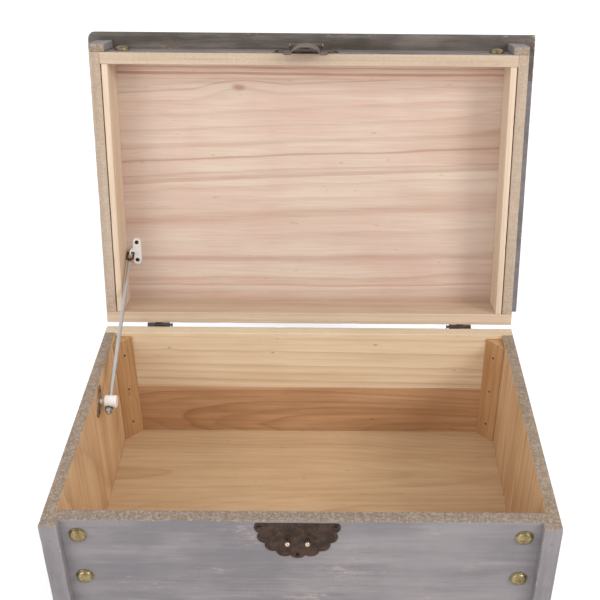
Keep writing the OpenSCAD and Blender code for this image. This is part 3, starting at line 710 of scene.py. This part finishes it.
PANEL_FACE = float(span("lid_board_back", OPENED.inverted())[0][2])
panel_wood = timber(
    "panel_wood", (0.64, 0.525, 0.43), (0.60, 0.45, 0.36), (0.38, 0.21, 0.13), (0.30, 0.52), 0.016, 0.052,
    flow=0.009, ring_depth=0.40, blush=(0.60, 0.405, 0.345), level=(0.12, 0.04), seed=17.0,
    bands=[(-0.062, -0.058, 0.002, 0.30), (-0.043, -0.0405, 0.0012, 0.75),
           (-0.016, -0.012, 0.002, 0.45), (-0.0125, -0.011, 0.001, 0.5),
           (0.034, 0.045, 0.005, 0.42), (0.098, 0.105, 0.003, 0.40), (0.139, 0.142, 0.0015, 0.42),
           (0.146, 0.170, 0.004, 0.42), (-0.085, -0.083, 0.002, 0.25),
           (-0.106, -0.104, 0.0015, 0.22), (-0.136, -0.134, 0.0012, 0.55)],
    knots=[(-0.094, -0.131, PANEL_FACE, 0.006), (0.268, -0.098, PANEL_FACE, 0.007)],
    # The first dark patch, at the panel's right end, is partly browner wood and partly painted shade: the
    # shadow cast on the panel from the lid's right-hand side.
    dark_patches_and_shade=[(0.235, -0.06, 0.045, 0.35), (0.16, 0.02, 0.03, 0.18), (-0.21, -0.02, 0.03, 0.15)],
)
nose_wood = timber(
    "nose_wood", (0.74, 0.56, 0.44), (0.62, 0.42, 0.33), (0.36, 0.17, 0.12), (-0.12, 0.30), 0.007, 0.0,
    ring_depth=0.6, flow=0.003, bands=[(-0.150, -0.1465, 0.0008, 0.8), (-0.1565, -0.155, 0.0006, 0.5)],
    seed=19.0, washes=(STAIN_DARK, STAIN, STAIN_PALE), bared_tone=STAIN_BARE,
)
plank("lid_board_back", panel_wood, "lid", 0, 61, OPENED, inside=INSIDE, eases=(EASE, JOINTED, JOINTED, EASE),
      coat={"+z": 1.0, "+x": 1.0, "-x": 1.0, "+y": 1.0})
plank("lid_board_front", nose_wood, "lid", 0, 67, OPENED, eases=NOSE_EASES, inside=INSIDE, nip=7 * MM,
      coat={"+z": 1.0, "+x": 1.0, "-x": 1.0, "-y": 1.0})

rail_wood = timber(
    "rail_wood", (0.63, 0.49, 0.36), (0.54, 0.40, 0.28), (0.36, 0.22, 0.14), (-0.34, 0.30), 0.009, 0.0,
    ring_depth=0.4, seed=23.0, washes=(STAIN, STAIN_PALE, WASH), bared_tone=STAIN_BARE,
)
plank("lid_front_rail", rail_wood, "lid", 0, 71, OPENED, coat={"-y": 0.95, "-z": 0.12})
plank("lid_hinge_rail", rail_wood, "lid", 0, 73, OPENED, coat={"+y": 1.0, "+x": 0.5, "-x": 0.5})
plank("lid_side_left", rail_wood, "lid", 1, 79, OPENED, coat={"-x": 1.0, "-y": 0.3, "-z": 0.17}, knocks=0.6)
plank("lid_side_right", rail_wood, "lid", 1, 83, OPENED, coat={"+x": 1.0, "-y": 0.3, "-z": 0.17}, knocks=0.6)

lining_wood = timber(
    "lining_wood", (0.68, 0.55, 0.42), (0.61, 0.47, 0.34), (0.45, 0.30, 0.18), (0.20, 0.05), 0.008, 0.0,
    ring_depth=0.3, seed=29.0,
)
plank("lid_lining_left", lining_wood, "lid", 1, 89, OPENED)
plank("lid_lining_right", lining_wood, "lid", 1, 97, OPENED)
for side in ("left", "right"):
    plank("lid_batten_" + side, batten_wood, "lid", 2, 103 + len(side), OPENED, knocks=0.6,
          coat={"-y": 1.0, "-x": 1.0, "+x": 1.0, "-z": 0.3})

stud_low, stud_high = span("lid_studs", OPENED.inverted())
stud_radius = (stud_high[2] - stud_low[2]) / 2
stud_rows("lid_studs", "lid", 1, stud_radius, OPENED)
stud_rows("front_studs", "box", 3, stud_radius)

# ---- Screws -----------------------------------------------------------------
# Slotted wood screws: round heads in the latch, countersunk ones in the hinges
# and the stay. They were blackened, and the slots are worn.

HEAD_RINGS = 15
HEAD_TURNS = 48
SLOT_HALF = 0.42 * MM
SLOT_DEEP = 0.75 * MM


def screw_head(radius, rise, slot):
    """A head about Z: a skirt, then height rise (1 - u^2)^0.6 over u from the rim to the
    middle, less the slot's depth where the distance across the slot is under its half width."""
    share = np.linspace(1, 0.04, HEAD_RINGS)[:, None]
    angle = np.linspace(0, 2 * np.pi, HEAD_TURNS, endpoint=False)[None]
    reach = radius * share * np.ones_like(angle)
    across = np.abs(reach * np.sin(angle - slot))
    crown = rise * (1 - share**2) ** 0.6 * np.ones_like(angle)
    cut = SLOT_DEEP * np.clip((SLOT_HALF - across) / (0.12 * MM) + 0.5, 0, 1)
    height = 0.35 * MM + crown - cut * (share < 0.97)
    skirt = np.full((1, HEAD_TURNS), -0.4 * MM)
    reach = np.concatenate([reach[:1], reach])
    height = np.concatenate([skirt, height])
    angle = np.broadcast_to(angle, height.shape)
    return np.stack([reach * np.cos(angle), reach * np.sin(angle), height], -1)


def facing(out):
    """A turn that carries Z onto a direction."""
    return Vector(out).to_track_quat("Z", "Y").to_matrix().to_4x4()


def screws(node, body, out, rise, material):
    """The heads of one CAD node's screws, square to a direction, over the CAD shanks."""
    grids = []
    draw = np.random.default_rng(len(node))
    out = np.array(Vector(out).normalized())
    for corners in solids(node):
        depth = corners @ out
        head = corners[depth > depth.max() - 1.0 * MM]
        centre = (head.max(0) + head.min(0)) / 2
        centre += out * (depth.max() - centre @ out - rise)
        flat = head - centre - np.outer((head - centre) @ out, out)
        radius = np.linalg.norm(flat, axis=1).max()
        place = Matrix.Translation(Vector(centre)) @ facing(out)
        grids.append(turned(screw_head(radius * 0.985, rise, draw.uniform(0, np.pi)), place))
    add_piece(node + "_heads", join_grids(node + "_heads", grids), material, body, [node])


FRONT_OUT = (0, -1, 0)
LID_OUT = OPENED.to_3x3() @ Vector(FRONT_OUT)
LID_BACK = OPENED.to_3x3() @ Vector((0, 1, 0))
LID_UNDER = OPENED.to_3x3() @ Vector((0, 0, -1))

screw_black = metal("screw_black", (0.018, 0.013, 0.010), (0.12, 0.085, 0.06), 0.34, 240.0)
screw_bronze = metal("screw_bronze", (0.035, 0.024, 0.017), (0.13, 0.09, 0.06), 0.38, 240.0)
screws("latch_screws_lower", "box", FRONT_OUT, 1.0 * MM, screw_black)
screws("latch_screws_upper", "lid", LID_OUT, 1.0 * MM, screw_black)
screws("hinge_screws_box", "box", (0, 1, 0), 0.2 * MM, screw_bronze)
screws("hinge_screws_lid", "lid", LID_BACK, 0.2 * MM, screw_bronze)
screws("stay_base_screws", "box", (1, 0, 0), 0.25 * MM, screw_black)
screws("stay_bracket_screws", "lid", LID_UNDER, 0.25 * MM, screw_black)

# ---- The latch --------------------------------------------------------------
# Two stamped half-round plates with nine lobes round each, in brass that was
# stained nearly black. The flap hangs from the upper one and drops over the posts.

PETAL = math.pi / 8
SCALLOP_SHARES = [1, 1, 0.993, 0.98, 0.965, 0.95, 0.935, 0.915, 0.89, 0.86, 0.82,
                  0.77, 0.71, 0.64, 0.56, 0.47, 0.37, 0.27, 0.17, 0.08, 0.02]
SCALLOP_TURNS = 384


def scallop_edge(angle, radius, lobe, top):
    """The distance from the disc's centre to the plate's edge at each angle: the disc or the
    nearest lobe, R cos d + sqrt(r^2 - R^2 sin^2 d) at d from the lobe's middle, cut by the
    straight top edge at top / sin."""
    off = (angle + PETAL / 2) % PETAL - PETAL / 2
    inside = lobe**2 - (radius * np.sin(off)) ** 2
    lobed = radius * np.cos(off) + np.sqrt(np.clip(inside, 0, None))
    edge = np.where(inside > 0, np.maximum(radius, lobed), radius)
    rising = np.sin(angle)
    lobe_near = np.abs((angle + np.pi / 2) % (2 * np.pi) - np.pi) < np.pi / 2 + 1.5 * PETAL
    edge = np.where((rising > 0) & ~lobe_near, radius, edge)
    return np.where(rising > 1e-6, np.minimum(edge, top / np.maximum(rising, 1e-6)), edge)


def scallop_grid(radius, lobe, top, thick):
    """A stamped plate about Z, hanging towards -Y: a raised bead follows the edge, shallow
    petals run out to the lobes, and a ring and a low boss stand round the middle."""
    angle = np.linspace(0, 2 * np.pi, SCALLOP_TURNS, endpoint=False)
    edge = scallop_edge(angle, radius, lobe, top)
    share = np.array(SCALLOP_SHARES)[:, None]
    reach = share * edge
    bead = np.exp(-(((1 - share) * edge - 1.6 * MM) / (0.9 * MM)) ** 2)
    petal = 0.5 + 0.5 * np.cos(2 * np.pi * angle / PETAL)
    spread = np.clip((reach / radius - 0.42) / 0.2, 0, 1) * np.clip((0.93 - reach / radius) / 0.1, 0, 1)
    ring = np.exp(-((reach / radius - 0.36) / 0.03) ** 2)
    swirl = 0.5 + 0.5 * np.sin(5 * angle + 9 * reach / radius)
    middle = np.clip((0.34 - reach / radius) / 0.06, 0, 1)
    proud = 0.34 * bead + 0.16 * petal * spread + 0.16 * ring + 0.10 * swirl * middle
    height = thick * 0.72 + MM * proud
    height[0] = 0.0
    height[1] = thick * 0.55
    crest = proud / 0.34 - 0.35 * bead
    return np.stack([reach * np.cos(angle), reach * np.sin(angle), height], -1), crest


def bronze(name, dark, mid, bright):
    """Stained brass: a dark skin with warmer patches, and bare metal on what stands proud."""
    finish = Finish(name)
    where = finish.node("TexCoord", None, out=3)
    patch = finish.noise(where, 130.0, 4.0, 0.6)
    grit = finish.noise(where, 900.0, 3.0)
    crest = finish.node("Attribute", {"attribute_name": "crest"}, out=2)
    colour = finish.mix(finish.step(patch * 0.7 + grit * 0.3, 0.38, 0.66), dark, mid)
    colour = finish.mix(finish.step(crest + (grit + patch - 1) * 0.5, 0.45, 0.95) * 0.7, colour, bright)
    return finish.done(Base_Color=colour, Metallic=0.3, Specular_IOR_Level=0.25, Roughness=grit * 0.2 + 0.42,
                       Normal=finish.bump(patch * 0.5 + grit * 0.5, 0.3, 0.0004))


latch_bronze = bronze("latch_bronze", (0.022, 0.011, 0.007), (0.064, 0.034, 0.022), (0.15, 0.085, 0.058))
lid_bronze = bronze("lid_bronze", (0.070, 0.047, 0.035), (0.17, 0.125, 0.10), (0.30, 0.24, 0.19))

plate_low, plate_high = span("latch_plate_lower")
LATCH_X = (plate_low[0] + plate_high[0]) / 2
PLATE_THICK = plate_high[1] - plate_low[1]
DISC_TO_LOBE = 0.2575
DISC_TO_HALF = 1 + DISC_TO_LOBE
disc_radius = (plate_high[0] - plate_low[0]) / 2 / DISC_TO_HALF
disc_height = plate_low[2] + disc_radius * DISC_TO_HALF
lower_grid, lower_crest = scallop_grid(disc_radius, disc_radius * DISC_TO_LOBE, plate_high[2] - disc_height,
                                       PLATE_THICK)
lower_plate = stand_out(lower_grid, (LATCH_X, plate_high[1], disc_height))
lower_mesh = grid_mesh("latch_plate_lower_stamped", lower_plate, True, True, {"crest": lower_crest})
add_piece("latch_plate_lower_stamped", lower_mesh, latch_bronze, "box", ["latch_plate_lower"])

POST_TURNS = 28
POST_STEM = 1.7 * MM
BALL_FADE = 0.9 * MM
ball_bend = np.linspace(math.radians(-62), math.radians(87), 13)


def post_profile(stem, ball, reach):
    """A post about Z: a foot that flares, a waisted stem, then a ball of its own radius."""
    foot = [(stem * 1.7, 0.0), (stem * 1.7, 0.25 * MM), (stem * 1.15, 0.7 * MM), (stem * 0.8, 1.3 * MM)]
    return foot + [(ball * math.cos(bend), reach - ball + ball * math.sin(bend)) for bend in ball_bend]


BALL_START = plate_low[1] - 1.0 * MM
post_finish = Finish("post_gold")
post_place = post_finish.node("TexCoord", None, out=3)
post_rub = post_finish.noise(post_place, 500.0, 3.0)
post_out = post_finish.node("SeparateXYZ", None, post_place, out=1)
ball_share = post_finish.step(post_out, BALL_START, BALL_START - BALL_FADE)
ball_tone = post_finish.mix(post_rub, (0.36, 0.26, 0.18), (0.66, 0.53, 0.40))
post_colour = post_finish.mix(ball_share, (0.035, 0.022, 0.015), ball_tone)
post_gold = post_finish.done(Base_Color=post_colour, Metallic=0.85, Roughness=post_rub * 0.15 + 0.18,
                             Normal=post_finish.bump(post_rub, 0.1, 0.0002))
posts = []
for corners in solids("latch_posts"):
    low, high = corners.min(0), corners.max(0)
    profile = post_profile(POST_STEM, (high[0] - low[0]) / 2, high[1] - low[1])
    foot = ((low[0] + high[0]) / 2, high[1], (low[2] + high[2]) / 2)
    posts.append(stand_out(turned_grid(profile, POST_TURNS), foot))
add_piece("latch_posts_turned", join_grids("latch_posts_turned", posts), post_gold, "box",
          ["latch_posts"])

RIVET_TURNS = 20
RIVET_RADIUS = 1.5 * MM
RIVET_HEIGHT = 0.8 * MM
RIVET_LIP = 0.3 * MM
RIVET_SINK = 0.2 * MM
rivet = turned_grid(dome_profile(RIVET_RADIUS, RIVET_HEIGHT, RIVET_LIP), RIVET_TURNS)
rivet_grid = stand_out(rivet, (LATCH_X, plate_low[1] + RIVET_SINK, disc_height + RIVET_RADIUS))
rivet_mesh = join_grids("latch_plate_rivet", [rivet_grid])
add_piece("latch_plate_rivet", rivet_mesh, screw_bronze, "box")

dress("latch_plate_upper", lid_bronze)
dress("latch_flap", lid_bronze)
dress("latch_hinge_pin", metal("pin_brass", (0.22, 0.16, 0.10), (0.60, 0.48, 0.34), 0.25, 200.0))

# ---- Hinges -----------------------------------------------------------------
# A pair of plain butt hinges in the same dark bronze, screwed to the back of the
# box and of the lid. The barrels were left rough where the leaves fold.

hinge_bronze = bronze("hinge_bronze", (0.035, 0.025, 0.02), (0.09, 0.065, 0.05), (0.22, 0.16, 0.12))
for side in ("left", "right"):
    for node in ("hinge_leaf_box_", "hinge_leaf_lid_", "hinge_pin_"):
        dress(node + side, hinge_bronze)

# ---- The lid stay -----------------------------------------------------------
# A drawn steel rod hangs by a wire eye from a white bracket and slides through
# a nylon barrel on the wall, down to a washer and a lock nut.

base_bronze = metal("base_bronze", (0.22, 0.15, 0.09), (0.44, 0.33, 0.22), 0.42, 120.0, shine=0.35)
dress("stay_base_plate", base_bronze)

bracket_white = Finish("bracket_white")
bracket_place = bracket_white.node("TexCoord", None, out=3)
bracket_dust = bracket_white.noise(bracket_place, 160.0, 4.0)
bracket_coat = bracket_white.mix(bracket_white.step(bracket_dust, 0.45, 0.7) * 0.5, (0.84, 0.83, 0.81),
                                 (0.68, 0.65, 0.61))
bracket_peel = bracket_white.bump(bracket_white.noise(bracket_place, 700.0), 0.08, 0.0002)
dress("stay_bracket", bracket_white.done(Base_Color=bracket_coat, Roughness=bracket_dust * 0.15 + 0.16,
                                         Normal=bracket_peel))

EYE_REACH = 17 * MM
EYE_FADE = 3 * MM
stay_hinge = next(joint for joint in frame["joints"] if joint["name"] == "stay_pivot")
rod_finish = Finish("rod_steel_drawn")
rod_place = rod_finish.node("TexCoord", None, out=3)
eye_place = tuple(stay_hinge["pos_m"])
from_eye = rod_finish.node("VectorMath", {"operation": "DISTANCE"}, rod_place, eye_place, out=1)
rod_streak = rod_finish.noise(rod_finish.stretched(rod_place, 900.0, 60.0, 40.0), 1.0, 3.0)
rod_colour = rod_finish.mix(rod_streak, (0.42, 0.41, 0.40), (0.66, 0.65, 0.63))
eye_share = rod_finish.step(from_eye, EYE_REACH, EYE_REACH - EYE_FADE)
eye_colour = rod_finish.mix(rod_finish.noise(rod_place, 300.0), (0.06, 0.04, 0.03), (0.17, 0.12, 0.08))
rod_finish.done(Base_Color=rod_finish.mix(eye_share, rod_colour, eye_colour), Metallic=0.9,
                Roughness=rod_streak * 0.15 + 0.24, Normal=rod_finish.bump(rod_streak, 0.1, 0.0002))
dress("stay_rod", rod_finish.material)

rubber = Finish("washer_rubber")
rubber_grit = rubber.noise(rubber.node("TexCoord", None, out=3), 800.0, 3.0)
rubber_tone = rubber.mix(rubber_grit, (0.03, 0.027, 0.025), (0.07, 0.062, 0.057))
rubber_skin = rubber.bump(rubber_grit, 0.3, 0.0003)
dress("stay_stop_washer", rubber.done(Base_Color=rubber_tone, Roughness=0.75, Normal=rubber_skin))
dress("stay_stop_nut", metal("nut_steel", (0.36, 0.35, 0.34), (0.66, 0.65, 0.63), 0.26, 200.0))

BARREL_TURNS = 56
BARREL_EASE = 2.0 * MM
GROOVE_HALF = 0.9 * MM
GROOVE_DEEP = 0.35 * MM


def barrel_profile(radius, length, ease):
    """From one flat end to the other: radius and height pairs with quarter-round shoulders
    and a shallow groove a quarter of the length from each end."""
    sweep = np.linspace(0, math.pi / 2, 6)
    shoulder = [(radius - ease + ease * math.sin(turn), ease - ease * math.cos(turn)) for turn in sweep]
    run = np.linspace(ease, length - ease, 13)[1:-1]
    from_groove = [(abs(z - length / 2) - length / 4) / GROOVE_HALF for z in run]
    middle = [(radius - GROOVE_DEEP * math.exp(-(gap**2)), z) for gap, z in zip(from_groove, run)]
    far = [(r, length - z) for r, z in shoulder[::-1]]
    return [(radius * 0.45, 0.0)] + shoulder + middle + far + [(radius * 0.45, length)]


nylon = Finish("milky_nylon")
nylon_place = nylon.node("TexCoord", None, out=3)
nylon_cloud = nylon.noise(nylon_place, 120.0, 3.0)
nylon_tone = nylon.mix(nylon_cloud, (0.76, 0.71, 0.67), (0.88, 0.85, 0.82))
nylon.done(Base_Color=nylon_tone, Roughness=nylon_cloud * 0.2 + 0.22, Subsurface_Weight=0.25,
           Subsurface_Radius=(0.004, 0.003, 0.002), Subsurface_Scale=1.0,
           Normal=nylon.bump(nylon.noise(nylon_place, 500.0), 0.1, 0.0002))
block_low, block_high = span("stay_block")
block_radius = (block_high[2] - block_low[2]) / 2
block_centre = (block_low + block_high) / 2
block_stud = 5.2 * MM
PIN_HEAD_R = 3.4 * MM
PIN_R = 3.0 * MM
PIN_HEAD = 0.8 * MM
PIN_SLOPE = 0.2 * MM
PIN_HELD = 1.0 * MM
barrel_length = block_high[0] - block_low[0] - block_stud
barrel = turned_grid(barrel_profile(block_radius, barrel_length, BARREL_EASE), BARREL_TURNS)
pin_profile = [(PIN_HEAD_R, 0.0), (PIN_HEAD_R, PIN_HEAD), (PIN_R, PIN_HEAD + PIN_SLOPE),
               (PIN_R, block_stud + PIN_HELD)]
pin = turned_grid(pin_profile, BARREL_TURNS)
lay_along_x = Matrix.Rotation(math.pi / 2, 4, "Y")
barrel = turned(barrel, Matrix.Translation((block_high[0] - barrel_length, *block_centre[1:])) @ lay_along_x)
pin = turned(pin, Matrix.Translation((block_low[0], *block_centre[1:])) @ lay_along_x)
barrel_mesh = grid_mesh("stay_block_barrel", barrel, True, True)
add_piece("stay_block_barrel", barrel_mesh, nylon.material, "stay_block", ["stay_block"])
stud_mesh = grid_mesh("stay_block_stud", pin, True, True)
add_piece("stay_block_stud", stud_mesh, nylon.material, "stay_block")
